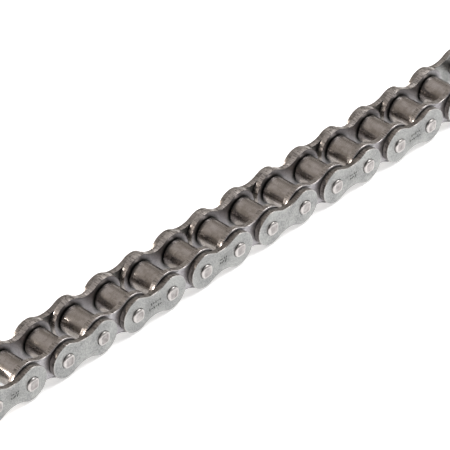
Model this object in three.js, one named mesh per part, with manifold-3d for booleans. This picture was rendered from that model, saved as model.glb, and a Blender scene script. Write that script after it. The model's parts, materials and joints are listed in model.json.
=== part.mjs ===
// A length of single-strand roller chain, laid out straight on the edges of its side plates.
//
// X runs along the chain, Y runs across it (every pin lies along Y) and Z points up.
// The origin is the middle of the chain, on the surface that the inner plates stand on.
// "Near" is the -Y side and "far" is the +Y side. Pins are numbered from the -X end.
//
// Outer links (two plates and two pins) and inner links (two plates, two bushings and two
// rollers) take turns along the chain, and both ends finish on an outer link.

import * as THREE from 'three';
import { mergeVertices } from 'three/addons/utils/BufferGeometryUtils.js';
import Module from 'manifold-3d';

// ---------------------------------------------------------------- driving dimensions, in mm

const PITCH = 19.05;                // pin axis to pin axis
const PITCH_COUNT = 15;             // links, counting outer and inner ones
const ROLLER_DIAMETER = 11.91;
const INNER_WIDTH = 12.8;           // clear width between the two inner plates
const PIN_DIAMETER = 5.96;
const PIN_HEAD_HEIGHT = 0.95;       // how far a pin stands out of each outer plate
const PIN_CHAMFER = 0.45;
const BUSHING_DIAMETER = 8.42;
const PLATE_THICKNESS = 2.5;
const INNER_PLATE_HEIGHT = 17.1;
const OUTER_PLATE_HEIGHT = 15.4;
const INNER_WAIST_HEIGHT = 11.5;    // plate height midway between its two pins
const OUTER_WAIST_HEIGHT = 10.4;

const PLATE_GAP = 0.25;             // inner plate to outer plate
const ROLLER_END_GAP = 0.2;         // roller end to inner plate
const FIXED_FIT_GAP = 0.05;         // round a pin or a bushing that is pressed into a plate
const RUNNING_FIT_GAP = 0.06;       // round a pin or a bushing that something turns on

const ROUND_SIDES = 16;             // sides of every pin, bushing, roller and hole
const QUARTER_LOBE_STEPS = 4;       // straight steps in a quarter turn of a plate's end
const LOBE_SHOULDER_STEPS = 2;      // from the top of the end to where the waist begins
const WAIST_STEPS = 4;              // along the hollow of the waist

// ---------------------------------------------------------------- sizes worked out from them

const PIN_RADIUS = PIN_DIAMETER / 2;
const BUSHING_RADIUS = BUSHING_DIAMETER / 2;
const INNER_PLATE_Y = INNER_WIDTH / 2;                                // inside face
const OUTER_PLATE_Y = INNER_PLATE_Y + PLATE_THICKNESS + PLATE_GAP;    // inside face
const PIN_HALF_LENGTH = OUTER_PLATE_Y + PLATE_THICKNESS + PIN_HEAD_HEIGHT;
const AXIS_HEIGHT = INNER_PLATE_HEIGHT / 2;
const HOLE_THROUGH = 1;             // how far a cutter runs past the piece that it cuts

const wasm = await Module();
wasm.setup();

const MATERIALS = {
  outerPlate: { color: 0xb9bbb8, roughness: 0.42, metalness: 1 },
  innerPlate: { color: 0xadabb2, roughness: 0.42, metalness: 1 },
  pin: { color: 0xb3acab, roughness: 0.35, metalness: 1 },
  roller: { color: 0x8d8683, roughness: 0.22, metalness: 1 },
};

// ---------------------------------------------------------------- outlines

/** A round hole's polygon has its flats, not its corners, at the wanted distance. */
function holeRadius(shaftRadius, gap) {
  return (shaftRadius + gap) / Math.cos(Math.PI / ROUND_SIDES);
}

/** The same polygon that a lathe with ROUND_SIDES segments turns about the pin. */
function roundOutline(x, radius) {
  return Array.from({ length: ROUND_SIDES }, (_, i) => {
    const turn = (i / ROUND_SIDES) * 2 * Math.PI;
    return new THREE.Vector2(x + radius * Math.sin(turn), radius * Math.cos(turn));
  });
}

/** Points along an arc, without its last one, so that arcs can follow each other. */
function arc(x, z, radius, from, to, steps) {
  return Array.from({ length: steps }, (_, i) => {
    const turn = from + ((to - from) * i) / steps;
    return new THREE.Vector2(x + radius * Math.cos(turn), z + radius * Math.sin(turn));
  });
}

/**
 * The waisted outline of a side plate: a round end about each pin, and above and below the
 * middle a hollow arc that meets both ends smoothly. The plate's middle is at x = 0.
 */
function plateOutline(height, waistHeight) {
  const end = height / 2;
  const waist = waistHeight / 2;
  const half = PITCH / 2;
  const hollow = (half ** 2 + waist ** 2 - end ** 2) / (2 * (end - waist));
  const hollowZ = waist + hollow;
  const meet = Math.atan2(hollowZ, half);     // where an end meets the hollow, from the pin
  const quarter = Math.PI / 2;
  const left = [
    ...arc(-half, 0, end, meet, quarter, LOBE_SHOULDER_STEPS),
    ...arc(-half, 0, end, quarter, 3 * quarter, 2 * QUARTER_LOBE_STEPS),
    ...arc(-half, 0, end, 3 * quarter, 4 * quarter - meet, LOBE_SHOULDER_STEPS),
    ...arc(0, -hollowZ, hollow, 2 * quarter - meet, meet, WAIST_STEPS),
  ];
  const right = left.map((point) => new THREE.Vector2(-point.x, -point.y));
  return [...left, ...right];
}

// ---------------------------------------------------------------- solids

/** A side plate standing in the XZ plane, half its thickness to each side of y = 0. */
function plateGeometry(height, waistHeight, boreRadius) {
  const shape = new THREE.Shape(plateOutline(height, waistHeight));
  if (boreRadius > 0) {
    for (const x of [-PITCH / 2, PITCH / 2]) {
      shape.holes.push(new THREE.Path(roundOutline(x, boreRadius)));
    }
  }
  const geometry = new THREE.ExtrudeGeometry(shape, { depth: PLATE_THICKNESS, bevelEnabled: false });
  geometry.translate(0, 0, -PLATE_THICKNESS / 2);
  geometry.rotateX(Math.PI / 2);
  return geometry;
}

/** A solid turned about Y from a profile of [radius, y] pairs. */
function turnedGeometry(profile) {
  const points = profile.map(([radius, y]) => new THREE.Vector2(radius, y));
  return new THREE.LatheGeometry(points, ROUND_SIDES);
}

function cylinderGeometry(radius, length) {
  return new THREE.CylinderGeometry(radius, radius, length, ROUND_SIDES);
}

function pinGeometry() {
  const end = PIN_HALF_LENGTH;
  return turnedGeometry([
    [0, -end],
    [PIN_RADIUS - PIN_CHAMFER, -end],
    [PIN_RADIUS, -end + PIN_CHAMFER],
    [PIN_RADIUS, end - PIN_CHAMFER],
    [PIN_RADIUS - PIN_CHAMFER, end],
    [0, end],
  ]);
}

function rollerGeometry() {
  const bore = holeRadius(BUSHING_RADIUS, RUNNING_FIT_GAP);
  const outside = ROLLER_DIAMETER / 2;
  const end = INNER_PLATE_Y - ROLLER_END_GAP;
  return turnedGeometry([
    [bore, -end],
    [outside, -end],
    [outside, end],
    [bore, end],
    [bore, -end],
  ]);
}

/** A closed geometry as a Manifold solid, with only its positions kept and welded. */
function toSolid(geometry) {
  const bare = geometry.clone();
  bare.deleteAttribute('normal');
  bare.deleteAttribute('uv');
  const welded = mergeVertices(bare);
  return new wasm.Manifold(new wasm.Mesh({
    numProp: 3,
    vertProperties: new Float32Array(welded.attributes.position.array),
    triVerts: new Uint32Array(welded.index.array),
  }));
}

function toGeometry(solid) {
  const mesh = solid.getMesh();
  const geometry = new THREE.BufferGeometry();
  geometry.setAttribute('position', new THREE.BufferAttribute(mesh.vertProperties, 3));
  geometry.setIndex(new THREE.BufferAttribute(mesh.triVerts, 1));
  geometry.computeVertexNormals();
  return geometry;
}

/**
 * The near inner plate with its two bushings pressed in. The bushings reach from the near
 * plate's outside face to the far plate's outside face, and the pins turn in their bores.
 */
function bushedPlateGeometry() {
  const length = 2 * (INNER_PLATE_Y + PLATE_THICKNESS);
  const plateY = -(INNER_PLATE_Y + PLATE_THICKNESS / 2);
  const bore = holeRadius(PIN_RADIUS, RUNNING_FIT_GAP);
  const plate = plateGeometry(INNER_PLATE_HEIGHT, INNER_WAIST_HEIGHT, 0).translate(0, plateY, 0);
  let solid = toSolid(plate);
  for (const x of [-PITCH / 2, PITCH / 2]) {
    solid = solid.add(toSolid(cylinderGeometry(BUSHING_RADIUS, length).translate(x, 0, 0)));
  }
  for (const x of [-PITCH / 2, PITCH / 2]) {
    const cutter = cylinderGeometry(bore, length + 2 * HOLE_THROUGH).translate(x, 0, 0);
    solid = solid.subtract(toSolid(cutter));
  }
  return toGeometry(solid);
}

// ---------------------------------------------------------------- the chain

const outerPlate = plateGeometry(
  OUTER_PLATE_HEIGHT, OUTER_WAIST_HEIGHT, holeRadius(PIN_RADIUS, FIXED_FIT_GAP));
const innerPlate = plateGeometry(
  INNER_PLATE_HEIGHT, INNER_WAIST_HEIGHT, holeRadius(BUSHING_RADIUS, FIXED_FIT_GAP));
const bushedPlate = bushedPlateGeometry();
const pin = pinGeometry();
const roller = rollerGeometry();

const chain = new THREE.Group();

function addPiece(name, geometry, look, x, y = 0) {
  const piece = new THREE.Mesh(geometry, new THREE.MeshStandardMaterial(MATERIALS[look]));
  piece.name = name;
  piece.position.set(x, y, AXIS_HEIGHT);
  chain.add(piece);
}

/** Where pin number `index` stands along the chain. */
function pinX(index) {
  return (index - PITCH_COUNT / 2) * PITCH;
}

const twoDigits = (number) => String(number).padStart(2, '0');

for (let first = 0; first < PITCH_COUNT; first += 1) {
  const middle = (pinX(first) + pinX(first + 1)) / 2;
  const isOuter = first % 2 === 0;
  if (isOuter) {
    const link = twoDigits(first / 2 + 1);
    const y = OUTER_PLATE_Y + PLATE_THICKNESS / 2;
    addPiece(`outer_plate_near_${link}`, outerPlate, 'outerPlate', middle, -y);
    addPiece(`outer_plate_far_${link}`, outerPlate, 'outerPlate', middle, y);
    addPiece(`pin_${twoDigits(first)}`, pin, 'pin', pinX(first));
    addPiece(`pin_${twoDigits(first + 1)}`, pin, 'pin', pinX(first + 1));
  } else {
    const link = twoDigits((first + 1) / 2);
    const y = INNER_PLATE_Y + PLATE_THICKNESS / 2;
    addPiece(`inner_plate_near_bushed_${link}`, bushedPlate, 'innerPlate', middle);
    addPiece(`inner_plate_far_${link}`, innerPlate, 'innerPlate', middle, y);
    addPiece(`roller_${twoDigits(first)}`, roller, 'roller', pinX(first));
    addPiece(`roller_${twoDigits(first + 1)}`, roller, 'roller', pinX(first + 1));
  }
}

export default chain;
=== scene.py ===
"""The looks of a straight length of roller chain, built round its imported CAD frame.

X runs along the chain, Y along the pins and Z up, in metres, as in the frame. Each kind of
piece has one finished mesh, centred on its own pin or link, and every CAD node gets a copy of it.
Outer plates have three, because some of them carry a stamp.
"""

import json
import math

import bpy
from mathutils import Matrix, Vector
from mathutils.geometry import delaunay_2d_cdt


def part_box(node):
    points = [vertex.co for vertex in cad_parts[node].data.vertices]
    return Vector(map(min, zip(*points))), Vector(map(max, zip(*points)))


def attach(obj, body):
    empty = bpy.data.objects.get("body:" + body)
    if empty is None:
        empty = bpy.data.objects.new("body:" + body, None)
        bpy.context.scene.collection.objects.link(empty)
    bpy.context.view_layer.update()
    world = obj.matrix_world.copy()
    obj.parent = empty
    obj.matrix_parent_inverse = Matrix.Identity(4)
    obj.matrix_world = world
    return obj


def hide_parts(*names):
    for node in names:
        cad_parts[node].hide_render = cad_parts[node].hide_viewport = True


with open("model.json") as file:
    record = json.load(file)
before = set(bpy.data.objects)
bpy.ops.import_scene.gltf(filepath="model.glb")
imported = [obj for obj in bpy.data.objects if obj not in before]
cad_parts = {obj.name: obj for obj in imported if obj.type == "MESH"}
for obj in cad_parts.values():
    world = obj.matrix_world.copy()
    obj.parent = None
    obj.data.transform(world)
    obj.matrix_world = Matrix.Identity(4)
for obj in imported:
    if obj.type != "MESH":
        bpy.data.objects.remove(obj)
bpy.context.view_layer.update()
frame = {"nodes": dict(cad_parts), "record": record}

MM = 0.001

# ---------------------------------------------------------------- sizes from the frame


def size_of(node):
    low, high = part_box(node)
    return high - low


def centre_of(node):
    low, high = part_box(node)
    return (low + high) / 2


NODES = sorted(frame["nodes"])
BODY_OF = {node: body for body, nodes in frame["record"]["behaviour"]["bodies"].items()
           for node in nodes}

PITCH = centre_of("pin_01").x - centre_of("pin_00").x
AXIS_HEIGHT = centre_of("pin_00").z
SKIN = 0.004 * MM                      # kept inside the CAD solids' own box

PLATE_THICKNESS = size_of("outer_plate_near_01").y
OUTER_END_RADIUS = size_of("outer_plate_near_01").z / 2 - SKIN
INNER_END_RADIUS = size_of("inner_plate_far_01").z / 2 - SKIN
OUTER_WAIST = OUTER_END_RADIUS * 0.675   # half a plate's height, midway between its pins
INNER_WAIST = INNER_END_RADIUS * 0.672

PIN_RADIUS = size_of("pin_00").z / 2 - SKIN
PIN_HALF_LENGTH = size_of("pin_00").y / 2 - SKIN
ROLLER_RADIUS = size_of("roller_01").z / 2 - SKIN
ROLLER_LENGTH = size_of("roller_01").y
INNER_FACE = -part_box("inner_plate_near_bushed_01")[0].y    # outside face of an inner plate

# No node's box shows these.
BUSHING_RADIUS, BUSHING_BORE = 4.21 * MM, 3.04 * MM
BUSHING_EDGE, ROLLER_EDGE = 0.18 * MM, 0.42 * MM
BUSHING_HOLE = BUSHING_RADIUS + 0.02 * MM
PIN_HOLE = PIN_RADIUS + 0.03 * MM
ROLLER_BORE = 4.27 * MM
ROLLER_CROWN = 0.02 * MM

# ---------------------------------------------------------------- mesh helpers

ROUND_SIDES = 96


class Solid:
    """Vertices, faces and per-vertex marks of one piece, gathered before it becomes a mesh.

    side is 1 on a plate's cut edge, wear says how bright an edge is, as rubbed wear and a painted
    highlight, along is the length round a plate's outline, and soil says how dark it is, as painted
    shade in gaps and at the tubes' ends, and as dried oil.
    """

    def __init__(self):
        self.points, self.faces = [], []
        self.marks = {"side": [], "wear": [], "along": [], "soil": []}

    def add(self, point, side=0.0, wear=0.0, along=0.0, soil=0.0):
        self.points.append(tuple(point))
        for mark, value in (("side", side), ("wear", wear), ("along", along), ("soil", soil)):
            self.marks[mark].append(value)
        return len(self.points) - 1

    def bridge(self, loop_a, loop_b):
        """Quads between two closed loops of the same length."""
        count = len(loop_a)
        for i in range(count):
            j = (i + 1) % count
            self.faces.append((loop_a[i], loop_a[j], loop_b[j], loop_b[i]))

    def mesh(self, name, sharp_angle=35):
        mesh = bpy.data.meshes.new(name)
        mesh.from_pydata(self.points, [], self.faces)
        for mark, values in self.marks.items():
            layer = mesh.attributes.new(mark, "FLOAT", "POINT")
            layer.data.foreach_set("value", values)
        mesh.polygons.foreach_set("use_smooth", [True] * len(mesh.polygons))
        mesh.set_sharp_from_angle(angle=math.radians(sharp_angle))
        mesh.validate()
        mesh.update()
        return mesh


def turned(profile):
    """A tube turned about Y, from a profile of (radius, y, wear, soil) that closes on itself.

    The profile goes over the -Y end, along the outside and over the +Y end.
    """
    solid = Solid()
    loops = []
    for radius, y, wear, soil in profile:
        loops.append([
            solid.add((radius * math.sin(t), y, radius * math.cos(t)), wear=wear, soil=soil)
            for t in (2 * math.pi * i / ROUND_SIDES for i in range(ROUND_SIDES))
        ])
    for a, b in zip(loops, loops[1:] + loops[:1]):
        solid.bridge(a, b)
    return solid


def round_edge(radius, y, towards, along, size, steps=4):
    """(radius, y) points of a rounded edge, from the end face at y to the turned wall at radius.

    towards is the sign of the radius from the wall into the face, and along the sign of y from
    the face into the wall.
    """
    points = []
    for i in range(steps + 1):
        t = math.pi / 2 * i / steps
        points.append((radius + towards * size * (1 - math.sin(t)),
                       y + along * size * (1 - math.cos(t))))
    return points


# ---------------------------------------------------------------- side plates

ARC_STEP = math.radians(5)
FEWEST_STEPS = 4               # along any of the outline's arcs


def plate_outline(end, waist):
    """(x, z, normal x, normal z, length so far) round a waisted plate, anticlockwise from +X."""
    half = PITCH / 2
    hollow = (half ** 2 + waist ** 2 - end ** 2) / (2 * (end - waist))
    hollow_z = waist + hollow
    meet = math.atan2(hollow_z, half)
    half_turn = math.pi
    # (centre x, centre z, radius, from, to, 1 where it bulges and -1 where it is hollow)
    arcs = [
        (half, 0.0, end, meet - half_turn, half_turn - meet, 1),
        (0.0, hollow_z, hollow, -meet, meet - half_turn, -1),
        (-half, 0.0, end, meet, 2 * half_turn - meet, 1),
        (0.0, -hollow_z, hollow, half_turn - meet, meet, -1),
    ]
    outline, length = [], 0.0
    for x, z, radius, start, stop, side in arcs:
        steps = max(FEWEST_STEPS, round(abs(stop - start) / ARC_STEP))
        for i in range(steps):
            t = start + (stop - start) * i / steps
            nx, nz = math.cos(t), math.sin(t)
            outline.append((x + radius * nx, z + radius * nz, side * nx, side * nz, length))
            length += radius * abs(stop - start) / steps
    return outline


def inset(outline, amount):
    return [(x - nx * amount, z - nz * amount) for x, z, nx, nz, _ in outline]


def ring(x, z, radius, steps):
    turns = [2 * math.pi * i / steps for i in range(steps)]
    return [(x + radius * math.cos(t), z + radius * math.sin(t)) for t in turns]


ROLLED_WIDTH = 0.42 * MM       # pressed-over edge on the plate's outside face
ROLLED_DEPTH = 0.30 * MM
ROLLED_STEPS = 6
ROLLED_FACE_STEPS = 2          # of those, the ones that still look like the face
BACK_EDGE = 0.12 * MM          # rounding on the inside face
SHEARED_SHARE = 0.52           # of the thickness, before the cut edge is torn
TORN_STEP = 0.045 * MM         # how far the torn part starts inside the sheared part
TORN_BACK = TORN_STEP * 1.6    # and how far it has leant in at the inside face
TORN_DEPTH = 0.12 * MM         # of the slope between the two
SHADED_RIM = 0.95 * MM         # of a face that another plate's end lies against, where the gap's painted shade fades out
END_SLACK = 0.4 * MM           # past a plate's round end, where its waist begins
HOLE_EDGE = 0.12 * MM          # broken edge of a hole
HOLE_RIM = HOLE_EDGE * 2.5     # where a hole's soil ends on the face
HOLE_STEPS = 64


def edge_profile():
    """(inset, depth, side, wear, soil) from the plate's outside face over its edge to the inside.

    inset is from the plate's outline, and depth is from the outside face.
    """
    # On the rolled edge the last column paints shade, for the dark gap under another plate's end,
    # and the one before paints a highlight along it besides rubbed wear.
    profile = [(SHADED_RIM, 0.0, 0.0, 0.0, 0.0), (ROLLED_WIDTH * 1.25, 0.0, 0.0, 0.15, 1.0)]
    for i in range(ROLLED_STEPS + 1):
        t = math.pi / 2 * i / ROLLED_STEPS
        side = min(1.0, max(0.0, (i - ROLLED_FACE_STEPS) / (ROLLED_STEPS - ROLLED_FACE_STEPS)))
        wear = math.sin(2 * t) * 0.8 + 0.2
        soil = max(0.0, 0.8 - i / 3)
        profile.append((ROLLED_WIDTH * (1 - math.sin(t)), ROLLED_DEPTH * (1 - math.cos(t)),
                        side, wear, soil))
    sheared = PLATE_THICKNESS * SHEARED_SHARE
    back = PLATE_THICKNESS
    profile += [
        (0.0, ROLLED_DEPTH + 0.1 * MM, 1.0, 0.0, 0.0),
        (0.0, sheared, 1.0, 0.0, 0.0),
        (TORN_STEP, sheared + TORN_DEPTH, 1.0, 0.0, 0.0),
        (TORN_BACK, back - BACK_EDGE * 1.3, 1.0, 0.0, 0.0),
        (TORN_BACK + BACK_EDGE * 0.3, back - BACK_EDGE * 0.35, 1.0, 0.7, 0.0),
        (TORN_BACK + BACK_EDGE, back, 0.3, 0.5, 0.0),
        (TORN_BACK + BACK_EDGE * 2, back, 0.0, 0.0, 0.0),
    ]
    return profile


def encloses(loop, point):
    """Whether a closed loop of (x, z) points runs round the point."""
    inside = False
    for (ax, az), (bx, bz) in zip(loop, loop[1:] + loop[:1]):
        if (az > point.y) != (bz > point.y):
            if point.x < ax + (bx - ax) * (point.y - az) / (bz - az):
                inside = not inside
    return inside


MERGE_DISTANCE = 1e-9          # closer points would be one


def fill_face(solid, rims, face_y, facing, dents=()):
    """Triangles over a flat face inside the first rim, round the other rims and over the dents.

    rims are loops of the solid's own vertices. dents are new loops: (points, depth, soil), the last
    saying how dark the dent is made.
    """
    shapes = [[(solid.points[i][0], solid.points[i][2]) for i in rim] for rim in rims]
    flat, edges, ids = [], [], []

    def add_loop(vertices):
        start, count = len(flat), len(vertices)
        for i, vertex in enumerate(vertices):
            x, _, z = solid.points[vertex]
            flat.append(Vector((x, z)))
            ids.append(vertex)
            edges.append((start + i, start + (i + 1) % count))

    for rim in rims:
        add_loop(rim)
    for loop, depth, soil in dents:
        add_loop([solid.add((x, face_y + depth, z), soil=soil) for x, z in loop])
    places, _, triangles, sources, *_ = delaunay_2d_cdt(flat, edges, [], 0, MERGE_DISTANCE)
    for triangle in triangles:
        centre = sum((places[i] for i in triangle), Vector((0, 0))) / 3
        if not encloses(shapes[0], centre) or any(encloses(hole, centre) for hole in shapes[1:]):
            continue
        corners = [ids[sources[i][0]] for i in triangle]
        a, b, c = (Vector(solid.points[i]) for i in corners)
        if (b - a).cross(c - a).y * facing < 0:
            corners.reverse()
        solid.faces.append(tuple(corners))


def capsule(x, z, angle, length, radius, steps=8):
    """A rounded bar's outline, for a stamped dash."""
    points = []
    for end, turn in ((1, 0), (-1, math.pi)):
        for i in range(steps + 1):
            t = angle - math.pi / 2 + math.pi * i / steps + turn
            points.append((x + end * length / 2 * math.cos(angle) + radius * math.cos(t),
                           z + end * length / 2 * math.sin(angle) + radius * math.sin(t)))
    return points


DENT_DEPTH = 0.16 * MM
DENT_RADIUS = 0.26 * MM
DENT_FLOOR = 0.60                     # of its width
# how dark each stamped dent is made, darker on its floor
DENT_RIM_DARK, DENT_FLOOR_DARK = 0.2, 1.0


def stamped(marks):
    """Dents for fill_face: each stamped dash has a rim and a smaller, deeper floor."""
    dents = []
    for x, z, angle, length in marks:
        rim = capsule(x, z, angle, length, DENT_RADIUS)
        dent_floor = capsule(x, z, angle, length, DENT_RADIUS * DENT_FLOOR)
        dents += [(rim, 0.0, DENT_RIM_DARK), (dent_floor, DENT_DEPTH, DENT_FLOOR_DARK)]
    return dents


def hole_rings(solid, x, hole, outside):
    """Rings from the outside face through a hole with broken, darkened edges to the inside face."""
    rings = []
    for radius, y, soil in (
        (hole + HOLE_RIM, outside, 0.0),
        (hole + HOLE_EDGE, outside, 0.7),
        (hole + HOLE_EDGE * 0.3, outside + HOLE_EDGE * 0.3, 1.0),
        (hole, outside + HOLE_EDGE, 1.0),
        (hole, -outside - HOLE_EDGE, 1.0),
        (hole + HOLE_EDGE, -outside, 0.7),
        (hole + HOLE_RIM, -outside, 0.0),
    ):
        rings.append([
            solid.add((px, y, pz), soil=soil) for px, pz in ring(x, 0, radius, HOLE_STEPS)
        ])
    for a, b in zip(rings, rings[1:]):
        solid.bridge(a, b)
    return rings


def plate_mesh(name, end, waist, hole, wear, soil, marks=()):
    """A pressed plate standing in XZ, its outside face to -Y, centred on its thickness.

    wear brightens its edges, as rubbed wear and a painted highlight, and soil puts painted shade
    on the rim of its ends on the outside face, for the dark gap under another plate's end.
    """
    solid = Solid()
    outline = plate_outline(end, waist)
    outside = -PLATE_THICKNESS / 2
    loops = []
    at_end = [math.hypot(abs(x) - PITCH / 2, z) < end + END_SLACK for x, z, *_ in outline]
    for amount, depth, side, worn_and_sheen, gap_shade in edge_profile():
        loops.append([
            solid.add((x, outside + depth, z), side, worn_and_sheen * wear, along, gap_shade * soil * round_end)
            for (x, z), (*_, along), round_end in zip(inset(outline, amount), outline, at_end)
        ])
    for a, b in zip(loops, loops[1:]):
        solid.bridge(b, a)

    holes = [hole_rings(solid, x, hole, outside) for x in (-PITCH / 2, PITCH / 2)]
    fill_face(solid, [loops[0]] + [rings[0] for rings in holes], outside, -1, stamped(marks))
    fill_face(solid, [loops[-1]] + [rings[-1] for rings in holes], -outside, 1)
    return solid.mesh(name)


# ---------------------------------------------------------------- pins, bushings and rollers

STAKED_SIZE = 0.80        # of the pin's radius: half the side of the squared end face
STAKED_CORNERS = 4.5      # the higher, the sharper its corners
STAKED_DEPTH = 0.42 * MM
DISH_DEPTH = 0.10 * MM


def squared(angle, size, power):
    """Distance from the middle to the edge of a square with well rounded corners."""
    c, s = abs(math.cos(angle)), abs(math.sin(angle))
    return size / (c ** power + s ** power) ** (1 / power)


def pin_mesh():
    """A pin whose two ends are staked: the rim is pressed back to a rounded square."""
    solid = Solid()
    radius, tip = PIN_RADIUS, PIN_HALF_LENGTH

    def loop(shape, y, wear):
        points = []
        for i in range(ROUND_SIDES):
            t = 2 * math.pi * i / ROUND_SIDES
            r = shape(t)
            points.append(solid.add((r * math.sin(t), y, r * math.cos(t)), wear=wear))
        return points

    def flat(t):
        return squared(t, radius * STAKED_SIZE, STAKED_CORNERS)

    def circle(share):
        return lambda t: radius * share

    def square(share):
        return lambda t: flat(t) * share

    def between(share):
        return lambda t: radius + (flat(t) - radius) * share

    # (outline, y, wear) from the dished middle of an end face to the plain middle of the pin; the
    # staked rim is lightened as rubbed wear and as a painted highlight on its ridge
    half = [
        (circle(0.12), tip - DISH_DEPTH, 0.0),
        (circle(0.4), tip - DISH_DEPTH * 0.9, 0.0),
        (square(0.72), tip - DISH_DEPTH * 0.4, 0.0),
        (square(0.82), tip, 0.6),
        (square(0.93), tip - 0.03 * MM, 1.0),
        (square(1.0), tip - 0.12 * MM, 1.0),
        (between(0.80), tip - 0.26 * MM, 0.9),
        (between(0.30), tip - STAKED_DEPTH * 0.85, 0.6),
        (between(0.08), tip - STAKED_DEPTH, 0.9),
        (circle(1.0), tip - STAKED_DEPTH * 1.15, 0.9),
        (circle(1.0), tip - STAKED_DEPTH * 2.4, 0.7),
        (circle(1.0), tip * 0.45, 0.0),
    ]
    loops = [loop(shape, -y, wear) for shape, y, wear in half]
    loops += [loop(shape, y, wear) for shape, y, wear in reversed(half)]
    for a, b in zip(loops, loops[1:]):
        solid.bridge(a, b)
    for end, rim in ((-1, loops[0]), (1, loops[-1])):
        middle = solid.add((0, end * (tip - DISH_DEPTH), 0))
        for a, b in zip(rim, rim[1:] + rim[:1]):
            solid.faces.append((middle, a, b)[::end])
    return solid.mesh("staked_pin", 50)


END_SHADE = (1.0, 1.0, 1.0, 0.9, 0.7, 0.4, 0.2)    # painted shade over a tube's rounded edge, from its end face
END_WEAR = 0.2
WALL_PLACES = (-0.9, -0.6, 0.0, 0.6, 0.9)         # shares of its half length


def tube_mesh(name, outside, bore, half_length, edge, crown=0.0):
    """A tube with rounded edges, inside and out. crown bows its outside wall by a hair."""

    def end_half(end):
        """Its profile over one end, from the bore to the outside wall."""
        inner = round_edge(bore, end * half_length, 1, -end, edge * 0.5)[::-1]
        outer = round_edge(outside, end * half_length, -1, -end, edge, len(END_SHADE) - 1)
        middle = ((bore + outside) / 2, end * half_length)
        # The bore's edge and the end face get full painted shade, which fades over the outside
        # edge.
        return ([(r, y, 0.0, 1.0) for r, y in [*inner, middle]]
                + [(r, y, END_WEAR, soil) for (r, y), soil in zip(outer, END_SHADE)])

    wall = [(outside + crown * (1 - share ** 2), share * half_length, 0.0, 0.0)
            for share in WALL_PLACES]
    return turned(end_half(-1) + wall + end_half(1)[::-1]).mesh(name)


# ---------------------------------------------------------------- materials

COPY_SHIFT = (7.3, 5.1, 3.7)     # moves each copy of a piece to its own place in the noises


class Nodes:
    """Short calls that add nodes to the tree of one material or world, and link them."""

    def __init__(self, owner):
        owner.use_nodes = True
        self.owner = owner
        self.tree = owner.node_tree

    @staticmethod
    def socket(sockets, name):
        return next(s for s in sockets if s.name == name and s.enabled)

    def link(self, source, target):
        """Links a socket, or sets the target to a plain number or colour."""
        if isinstance(source, (int, float, tuple)):
            target.default_value = source
        else:
            self.tree.links.new(source, target)

    def new(self, kind, **values):
        node = self.tree.nodes.new(kind)
        for name, value in values.items():
            setattr(node, name, value)
        return node

    def attribute(self, name):
        return self.new("ShaderNodeAttribute", attribute_name=name).outputs["Fac"]

    def coordinates(self, kind):
        return self.new("ShaderNodeTexCoord").outputs[kind]

    def axes(self, vector):
        """The X, Y and Z sockets of a vector."""
        node = self.new("ShaderNodeSeparateXYZ")
        self.link(vector, node.inputs[0])
        return node.outputs

    def random(self):
        """A number that differs from one copy of a piece to the next."""
        return self.new("ShaderNodeObjectInfo").outputs["Random"]

    def math(self, operation, a, b=0.0, clamp=False):
        node = self.new("ShaderNodeMath", operation=operation, use_clamp=clamp)
        self.link(a, node.inputs[0])
        self.link(b, node.inputs[1])
        return node.outputs[0]

    def vector_math(self, operation, a, b):
        node = self.new("ShaderNodeVectorMath", operation=operation)
        self.link(a, node.inputs[0])
        self.link(b, node.inputs[1])
        return node.outputs[0]

    def noise(self, place, scale, detail=3.0, roughness=0.5):
        node = self.new("ShaderNodeTexNoise")
        self.link(place, node.inputs["Vector"])
        self.link(scale, node.inputs["Scale"])
        self.link(detail, node.inputs["Detail"])
        self.link(roughness, node.inputs["Roughness"])
        return node.outputs["Fac"]

    def spread(self, value, low, high, to_low=0.0, to_high=1.0):
        """Maps low..high to to_low..to_high, and stays within it."""
        node = self.new("ShaderNodeMapRange")
        for source, slot in ((value, "Value"), (low, "From Min"), (high, "From Max"),
                             (to_low, "To Min"), (to_high, "To Max")):
            self.link(source, self.socket(node.inputs, slot))
        return self.socket(node.outputs, "Result")

    def mix(self, share, a, b, kind="RGBA", blend="MIX"):
        node = self.new("ShaderNodeMix", data_type=kind, blend_type=blend)
        for source, slot in ((share, "Factor"), (a, "A"), (b, "B")):
            self.link(source, self.socket(node.inputs, slot))
        return self.socket(node.outputs, "Result")

    def ramp(self, value, stops):
        """A colour ramp through [(place, colour)], whose first place is 0 and whose last is 1."""
        node = self.new("ShaderNodeValToRGB")
        self.link(value, node.inputs["Fac"])
        elements = node.color_ramp.elements
        elements[0].color, elements[1].color = stops[0][1], stops[-1][1]
        for place, colour in stops[1:-1]:
            elements.new(place).color = colour
        return node.outputs["Color"]

    def place(self, stretch=(1, 1, 1)):
        """Object coordinates for a noise, which differ from one copy of a piece to the next."""
        shift = self.vector_math("MULTIPLY", self.random(), COPY_SHIFT)
        moved = self.vector_math("ADD", self.coordinates("Object"), shift)
        return self.vector_math("MULTIPLY", moved, stretch)

    def bump(self, height, distance, strength, under=None):
        node = self.new("ShaderNodeBump")
        self.link(height, node.inputs["Height"])
        node.inputs["Distance"].default_value = distance
        node.inputs["Strength"].default_value = strength
        if under is not None:
            self.link(under, node.inputs["Normal"])
        return node.outputs["Normal"]

    def metal(self, colour, roughness, normal):
        """The finished material."""
        shader = self.tree.nodes["Principled BSDF"]
        self.link(colour, shader.inputs["Base Color"])
        self.link(roughness, shader.inputs["Roughness"])
        self.link(normal, shader.inputs["Normal"])
        shader.inputs["Metallic"].default_value = 1.0
        return self.owner


SHADE_AND_SOIL = (0.018, 0.021, 0.017, 1.0)          # near-black: painted shade in the gaps and recesses, and dried oil there
RUBBED_AND_SHEEN = (0.70, 0.68, 0.66, 1.0)    # a plate's worn edges, also a painted highlight along them

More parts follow.
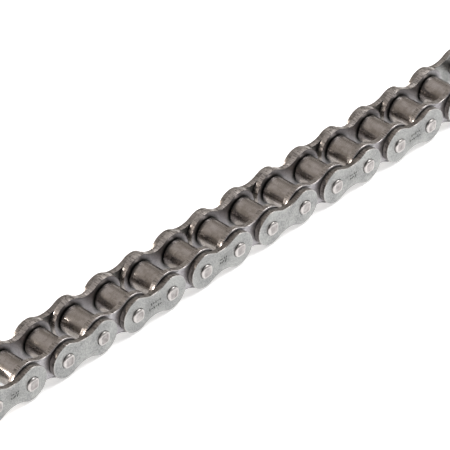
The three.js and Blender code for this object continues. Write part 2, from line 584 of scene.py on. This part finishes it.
# Noise scales, in cells per metre.
CLOUDS, PEPPER, GRAIN, WAVES = 150.0, 1700.0, 3200.0, 520.0      # on a plate
CUT_LINES, CUT_PATCHES = 2100.0, 420.0                           # on its cut edge
STAINS, TURNED_LINES, TURNED_GRAIN = 330.0, 3600.0, 2000.0       # on round pieces

CUT_LINE_STRETCH = 0.16                    # of the cut edge's lines, through the thickness
STAIN_STRETCH = (1.0, 0.55, 1.0)           # along the round piece
TURNED_LINE_STRETCH = (0.10, 1.0, 0.10)    # round it
TURNED_LINE_DEPTH = 0.01 * MM
SHADE_STARTS = ROLLER_RADIUS + 1.7 * MM     # painted shade round a roller's end starts here and is full at the next, from the pin's axis, on a plate's inside face
SHADE_IS_FULL = ROLLER_RADIUS + 0.2 * MM


def distance_from_pin(n, axes):
    """From the nearer of a plate's two pin axes."""
    sideways = n.math("SUBTRACT", n.math("ABSOLUTE", axes["X"]), PITCH / 2)
    squares = n.math("ADD", n.math("POWER", sideways, 2.0), n.math("POWER", axes["Z"], 2.0))
    return n.math("SQRT", squares)


def cut_edge_place(n, axes):
    """Noise coordinates that draw lines across a plate's cut edge, all round its outline."""
    node = n.new("ShaderNodeCombineXYZ")
    n.link(n.attribute("along"), node.inputs[0])
    n.link(n.math("MULTIPLY", axes["Y"], CUT_LINE_STRETCH), node.inputs[1])
    n.link(n.random(), node.inputs[2])
    return node.outputs[0]


def plate_steel(name, light, dark, cut_dark, cut_light, roughness, inside_shade):
    """Tumbled satin faces, edges brightened as rubbed wear and as a painted highlight, and darker
    cut edges with lines across them.

    Its last argument sets how dark the painted shade on the inside face gets round a pin, where a
    roller's end or another plate lies against it.
    """
    n = Nodes(bpy.data.materials.new(name))
    place = n.place()
    axes = n.axes(n.coordinates("Object"))
    side = n.attribute("side")
    wear = n.attribute("wear")

    cloud = n.spread(n.noise(place, CLOUDS), 0.38, 0.62)
    pepper = n.noise(place, PEPPER, 3.0, 0.7)
    grain = n.noise(place, GRAIN, 3.0, 0.6)
    shade = n.math("ADD", n.math("MULTIPLY", cloud, 0.28),
                   n.math("MULTIPLY", n.spread(pepper, 0.34, 0.66), 0.64))
    face_colour = n.mix(shade, light, dark)

    across = cut_edge_place(n, axes)
    lines = n.noise(across, CUT_LINES, 4.0, 0.7)
    patches = n.spread(n.noise(across, CUT_PATCHES, 2.0), 0.40, 0.60)
    cut_shade = n.math("MULTIPLY", n.spread(lines, 0.34, 0.66),
                       n.spread(patches, 0.0, 1.0, 0.65, 1.0))
    cut_colour = n.mix(cut_shade, cut_dark, cut_light)

    colour = n.mix(side, face_colour, cut_colour)
    # Edges lightened as rubbed wear and as a painted highlight.
    colour = n.mix(n.math("MULTIPLY", wear, 0.5), colour, RUBBED_AND_SHEEN)

    # Painted shade: dark on the inside face round a roller's end, and wherever the mesh marks gaps
    # and recesses.
    inside = n.spread(axes["Y"], PLATE_THICKNESS * 0.47, PLATE_THICKNESS * 0.49)
    gap_shade = n.spread(distance_from_pin(n, axes), SHADE_STARTS, SHADE_IS_FULL, 0.0, inside_shade)
    soil = n.math("MAXIMUM", n.attribute("soil"), n.math("MULTIPLY", inside, gap_shade))
    colour = n.mix(soil, colour, SHADE_AND_SOIL)

    face_rough = n.spread(pepper, 0.3, 0.7, roughness - 0.05, roughness + 0.08)
    cut_rough = n.spread(lines, 0.3, 0.7, roughness - 0.14, roughness + 0.08)
    rough = n.mix(side, face_rough, cut_rough, "FLOAT")
    rough = n.math("SUBTRACT", rough, n.math("MULTIPLY", wear, 0.12), clamp=True)

    height = n.mix(side, n.math("MULTIPLY", grain, 0.4), lines, "FLOAT")
    normal = n.bump(height, 0.05 * MM, 0.9)
    normal = n.bump(n.noise(place, WAVES, 2.0), 0.06 * MM, 0.4, normal)
    return n.metal(colour, rough, normal)


def round_steel(name, light, dark, edge, roughness):
    """Ground or burnished round stock: fine lines round it, soft stains, and painted shade where
    marked, on the tubes' ends.
    """
    n = Nodes(bpy.data.materials.new(name))
    stained = n.spread(n.noise(n.place(STAIN_STRETCH), STAINS, 5.0, 0.7), 0.38, 0.62)
    lines = n.noise(n.place(TURNED_LINE_STRETCH), TURNED_LINES, 3.0, 0.6)
    grain = n.noise(n.place(), TURNED_GRAIN, 3.0, 0.65)

    colour = n.mix(stained, light, dark)
    colour = n.mix(n.math("MULTIPLY", n.spread(lines, 0.40, 0.62), 0.35), colour, edge)
    colour = n.mix(n.math("MULTIPLY", n.spread(grain, 0.45, 0.68), 0.30), colour, dark)
    # Edges lightened as rubbed wear, and on the pins' staked ridge as a painted highlight.
    colour = n.mix(n.math("MULTIPLY", n.attribute("wear"), 0.6), colour, edge)
    # Painted shade on the tubes' ends and bores.
    colour = n.mix(n.attribute("soil"), colour, SHADE_AND_SOIL)

    rough = n.spread(stained, 0.0, 1.0, roughness - 0.04, roughness + 0.06)
    rough = n.math("ADD", rough, n.spread(grain, 0.3, 0.7, -0.05, 0.06))

    normal = n.bump(lines, TURNED_LINE_DEPTH, 0.8)
    normal = n.bump(grain, 0.02 * MM, 0.6, normal)
    return n.metal(colour, rough, normal)


outer_plate_steel = plate_steel(
    "outer_plate_steel",
    light=(0.455, 0.462, 0.447, 1), dark=(0.18, 0.18, 0.185, 1),
    cut_dark=(0.14, 0.13, 0.12, 1), cut_light=(0.44, 0.40, 0.37, 1),
    roughness=0.36, inside_shade=0.3)
inner_plate_steel = plate_steel(
    "inner_plate_steel",
    light=(0.51, 0.50, 0.507, 1), dark=(0.26, 0.24, 0.265, 1),
    cut_dark=(0.22, 0.205, 0.195, 1), cut_light=(0.66, 0.61, 0.57, 1),
    roughness=0.34, inside_shade=0.88)
# The pins' edge colour is made light for a painted highlight on the staked ridge, besides rubbed
# wear.
pin_steel = round_steel(
    "pin_steel", light=(0.375, 0.345, 0.34, 1), dark=(0.255, 0.24, 0.235, 1),
    edge=(0.76, 0.73, 0.71, 1), roughness=0.34)
bushing_steel = round_steel(
    "bushing_steel", light=(0.30, 0.28, 0.27, 1), dark=(0.22, 0.20, 0.19, 1),
    edge=(0.5, 0.48, 0.46, 1), roughness=0.30)
roller_steel = round_steel(
    "roller_steel", light=(0.50, 0.465, 0.445, 1), dark=(0.30, 0.265, 0.235, 1),
    edge=(0.56, 0.53, 0.50, 1), roughness=0.25)

# ---------------------------------------------------------------- finished meshes

LONG, TALL, SHORT = 1.3 * MM, 0.9 * MM, 0.5 * MM
FLAT, UPRIGHT = 0.0, 1.57


def dash_row(height, dashes):
    """A row of stamped dashes: (place along the plate in mm, slant in radians, length)."""
    return [(x * MM, height * MM, slant, length) for x, slant, length in dashes]


# Stamped marks that spell nothing.
STAMP_CLUSTER = (
    dash_row(0.85, [(-1.0, FLAT, LONG), (0.9, UPRIGHT, SHORT), (1.9, 0.8, SHORT)])
    + dash_row(-0.6, [(-1.5, UPRIGHT, SHORT), (-0.1, 0.4, LONG), (1.6, 1.2, LONG)])
)
STAMP_ROWS = (
    dash_row(1.1, [(-2.1, UPRIGHT, TALL), (-0.9, 1.2, SHORT), (0.3, UPRIGHT, TALL),
                   (1.4, FLAT, SHORT), (2.6, UPRIGHT, SHORT)])
    + dash_row(-1.1, [(-3.1, UPRIGHT, TALL), (-1.9, 0.3, SHORT), (-0.7, 1.9, TALL),
                      (0.5, FLAT, SHORT), (1.7, UPRIGHT, TALL), (2.9, 0.5, SHORT)])
)

OUTER_WEAR_AND_SHEEN, INNER_WEAR_AND_SHEEN = 0.6, 0.35      # how bright the edges are painted, as rubbed wear and a painted highlight
OUTER_RIM_SHADE, INNER_RIM_SHADE = 0.0, 0.8       # how dark the painted shade is on the ends' rims, in the gap under an outer plate's end

outer_meshes = {
    kind: plate_mesh(f"outer_plate_{kind}", OUTER_END_RADIUS, OUTER_WAIST, PIN_HOLE,
                     OUTER_WEAR_AND_SHEEN, OUTER_RIM_SHADE, stamp)
    for kind, stamp in (("plain", []), ("stamped", STAMP_CLUSTER), ("twice_stamped", STAMP_ROWS))
}
# Which outer links carry which stamps, from the -X end.
STAMPS = ("stamped", "plain", "twice_stamped", "stamped",
          "plain", "stamped", "twice_stamped", "plain")
inner_mesh = plate_mesh("inner_plate", INNER_END_RADIUS, INNER_WAIST, BUSHING_HOLE,
                        INNER_WEAR_AND_SHEEN, INNER_RIM_SHADE)
pin_shape = pin_mesh()
roller_mesh = tube_mesh("roller", ROLLER_RADIUS - ROLLER_CROWN, ROLLER_BORE,
                        ROLLER_LENGTH / 2 - SKIN, ROLLER_EDGE, ROLLER_CROWN)
bushing_mesh = tube_mesh("bushing", BUSHING_RADIUS, BUSHING_BORE, INNER_FACE - SKIN, BUSHING_EDGE)

for mesh in outer_meshes.values():
    mesh.materials.append(outer_plate_steel)
inner_mesh.materials.append(inner_plate_steel)
pin_shape.materials.append(pin_steel)
roller_mesh.materials.append(roller_steel)
bushing_mesh.materials.append(bushing_steel)

# ---------------------------------------------------------------- placing them on the frame

HALF_TURN = Matrix.Rotation(math.pi, 4, "Z")


def put(name, mesh, place, node, turned_round=False):
    """A piece that stands for a CAD node. turned_round faces it the other way, to +Y."""
    piece = bpy.data.objects.new(name, mesh)
    bpy.context.scene.collection.objects.link(piece)
    piece.matrix_world = Matrix.Translation(place) @ (HALF_TURN if turned_round else Matrix())
    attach(piece, BODY_OF[node])
    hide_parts(node)


for node in NODES:
    place = centre_of(node)
    number = int(node[-2:])
    if node.startswith("outer_plate"):
        mesh = outer_meshes[STAMPS[number - 1]]
        put(f"{node}_pressed", mesh, place, node, "far" in node)
    elif node.startswith("inner_plate_far"):
        put(f"{node}_pressed", inner_mesh, place, node, True)
    elif node.startswith("inner_plate_near"):
        plate_y = -(INNER_FACE - PLATE_THICKNESS / 2)
        middle = Vector((place.x, plate_y, AXIS_HEIGHT))
        put(f"{node.replace('_bushed', '')}_pressed", inner_mesh, middle, node)
        for side, pin in ((-1, 2 * number - 1), (1, 2 * number)):
            axis = Vector((place.x + side * PITCH / 2, 0, AXIS_HEIGHT))
            put(f"bushing_{pin:02d}", bushing_mesh, axis, node)
    elif node.startswith("pin"):
        put(f"{node}_staked", pin_shape, place, node)
    else:
        put(f"{node}_burnished", roller_mesh, place, node)

# ---------------------------------------------------------------- floor, light and camera

FLOOR_REACH = 6.0
FLOOR_DROP = 0.02 * MM       # keeps it clear of the plates that stand on it
FLOOR_MOTTLE = 3.0           # noise scale
FLOOR_GLOW = 0.53            # lifts the chain's own shadow
WORLD_STRENGTH = 1.4


def floor():
    corners = [(x * FLOOR_REACH, y * FLOOR_REACH, 0)
               for x, y in ((-1, -1), (1, -1), (1, 1), (-1, 1))]
    mesh = bpy.data.meshes.new("floor")
    mesh.from_pydata(corners, [], [(0, 1, 2, 3)])
    plane = bpy.data.objects.new("floor", mesh)
    bpy.context.scene.collection.objects.link(plane)
    plane.location.z = -FLOOR_DROP
    n = Nodes(bpy.data.materials.new("pale_floor"))
    shader = n.tree.nodes["Principled BSDF"]
    mottle = n.noise(n.place(), FLOOR_MOTTLE, 2.0)
    n.link(n.mix(mottle, (0.94, 0.94, 0.94, 1), (0.955, 0.955, 0.955, 1)),
           shader.inputs["Base Color"])
    shader.inputs["Roughness"].default_value = 0.9
    shader.inputs["Specular IOR Level"].default_value = 0.1
    shader.inputs["Emission Color"].default_value = (1.0, 1.0, 1.0, 1)
    shader.inputs["Emission Strength"].default_value = FLOOR_GLOW
    mesh.materials.append(n.owner)


def soft_light(name, direction, distance, size, power, colour):
    """A round lamp that faces the middle of the chain from a direction."""
    light = bpy.data.lights.new(name, "AREA")
    light.shape, light.size = "DISK", size
    light.energy, light.color = power, colour
    lamp = bpy.data.objects.new(name, light)
    bpy.context.scene.collection.objects.link(lamp)
    away = Vector(direction).normalized()
    lamp.location = Vector((0, 0, AXIS_HEIGHT)) + away * distance
    lamp.rotation_mode = "QUATERNION"
    lamp.rotation_quaternion = away.to_track_quat("Z", "Y")


WHITE = (1.0, 0.99, 0.97, 1)
DIM = (0.70, 0.70, 0.70, 1)

# (height as the sine of the elevation, colour), from the horizon to straight above.
BACK_WALL = [
    (0.0, WHITE), (0.13, WHITE), (0.24, (0.32, 0.29, 0.27, 1)), (0.45, (0.27, 0.245, 0.225, 1)),
    (0.62, (0.34, 0.315, 0.295, 1)), (0.80, (0.43, 0.405, 0.395, 1)), (1.0, (0.39, 0.375, 0.37, 1)),
]
FRONT_WALL = [
    (0.0, WHITE), (0.06, WHITE), (0.20, (0.10, 0.10, 0.10, 1)), (0.75, (0.06, 0.06, 0.06, 1)),
    (1.0, (0.36, 0.35, 0.34, 1)),
]


def studio_world():
    """White walls low down all round, and grey above them, dimmer towards +X.

    Above the low walls the near side, towards -Y, is dark.
    """
    world = bpy.data.worlds.new("studio")
    bpy.context.scene.world = world
    n = Nodes(world)
    axes = n.axes(n.coordinates("Generated"))
    back = n.ramp(axes["Z"], BACK_WALL)
    front = n.ramp(axes["Z"], FRONT_WALL)
    back = n.mix(n.spread(axes["X"], 0.35, 0.70), back, DIM, blend="MULTIPLY")
    walls = n.mix(n.spread(axes["Y"], -0.05, -0.40), back, front)
    background = n.tree.nodes["Background"]
    n.link(walls, background.inputs["Color"])
    background.inputs["Strength"].default_value = WORLD_STRENGTH


CAMERA_AZIMUTH, CAMERA_ELEVATION = math.radians(-46.70), math.radians(37.26)
CAMERA_DISTANCE = 87               # in pitches
CAMERA_AIM = Vector((-0.293 * PITCH, 0, AXIS_HEIGHT + 0.2066 * PITCH))
SENSOR_WIDTH, LENS = 36, 335.7     # in mm


def camera():
    """Looks down along the chain from its near side, through a long lens."""
    away = Vector((math.sin(CAMERA_AZIMUTH) * math.cos(CAMERA_ELEVATION),
                   -math.cos(CAMERA_AZIMUTH) * math.cos(CAMERA_ELEVATION),
                   math.sin(CAMERA_ELEVATION)))
    data = bpy.data.cameras.new("camera")
    data.sensor_width, data.lens = SENSOR_WIDTH, LENS
    eye = bpy.data.objects.new("camera", data)
    bpy.context.scene.collection.objects.link(eye)
    eye.location = CAMERA_AIM + away * CAMERA_DISTANCE * PITCH
    eye.rotation_mode = "QUATERNION"
    eye.rotation_quaternion = away.to_track_quat("Z", "Y")
    bpy.context.scene.camera = eye


floor()
studio_world()
# A small low window from behind on the left, and a wide lamp overhead on the right.
soft_light("window", direction=(-0.80, 0.55, 0.198), distance=1.0,
           size=0.07, power=4.5, colour=(1.0, 0.92, 0.86))
soft_light("overhead", direction=(0.60, -0.20, 0.80), distance=1.6,
           size=1.0, power=20, colour=(1.0, 1.0, 1.0))
camera()
bpy.context.scene.view_settings.view_transform = "Standard"
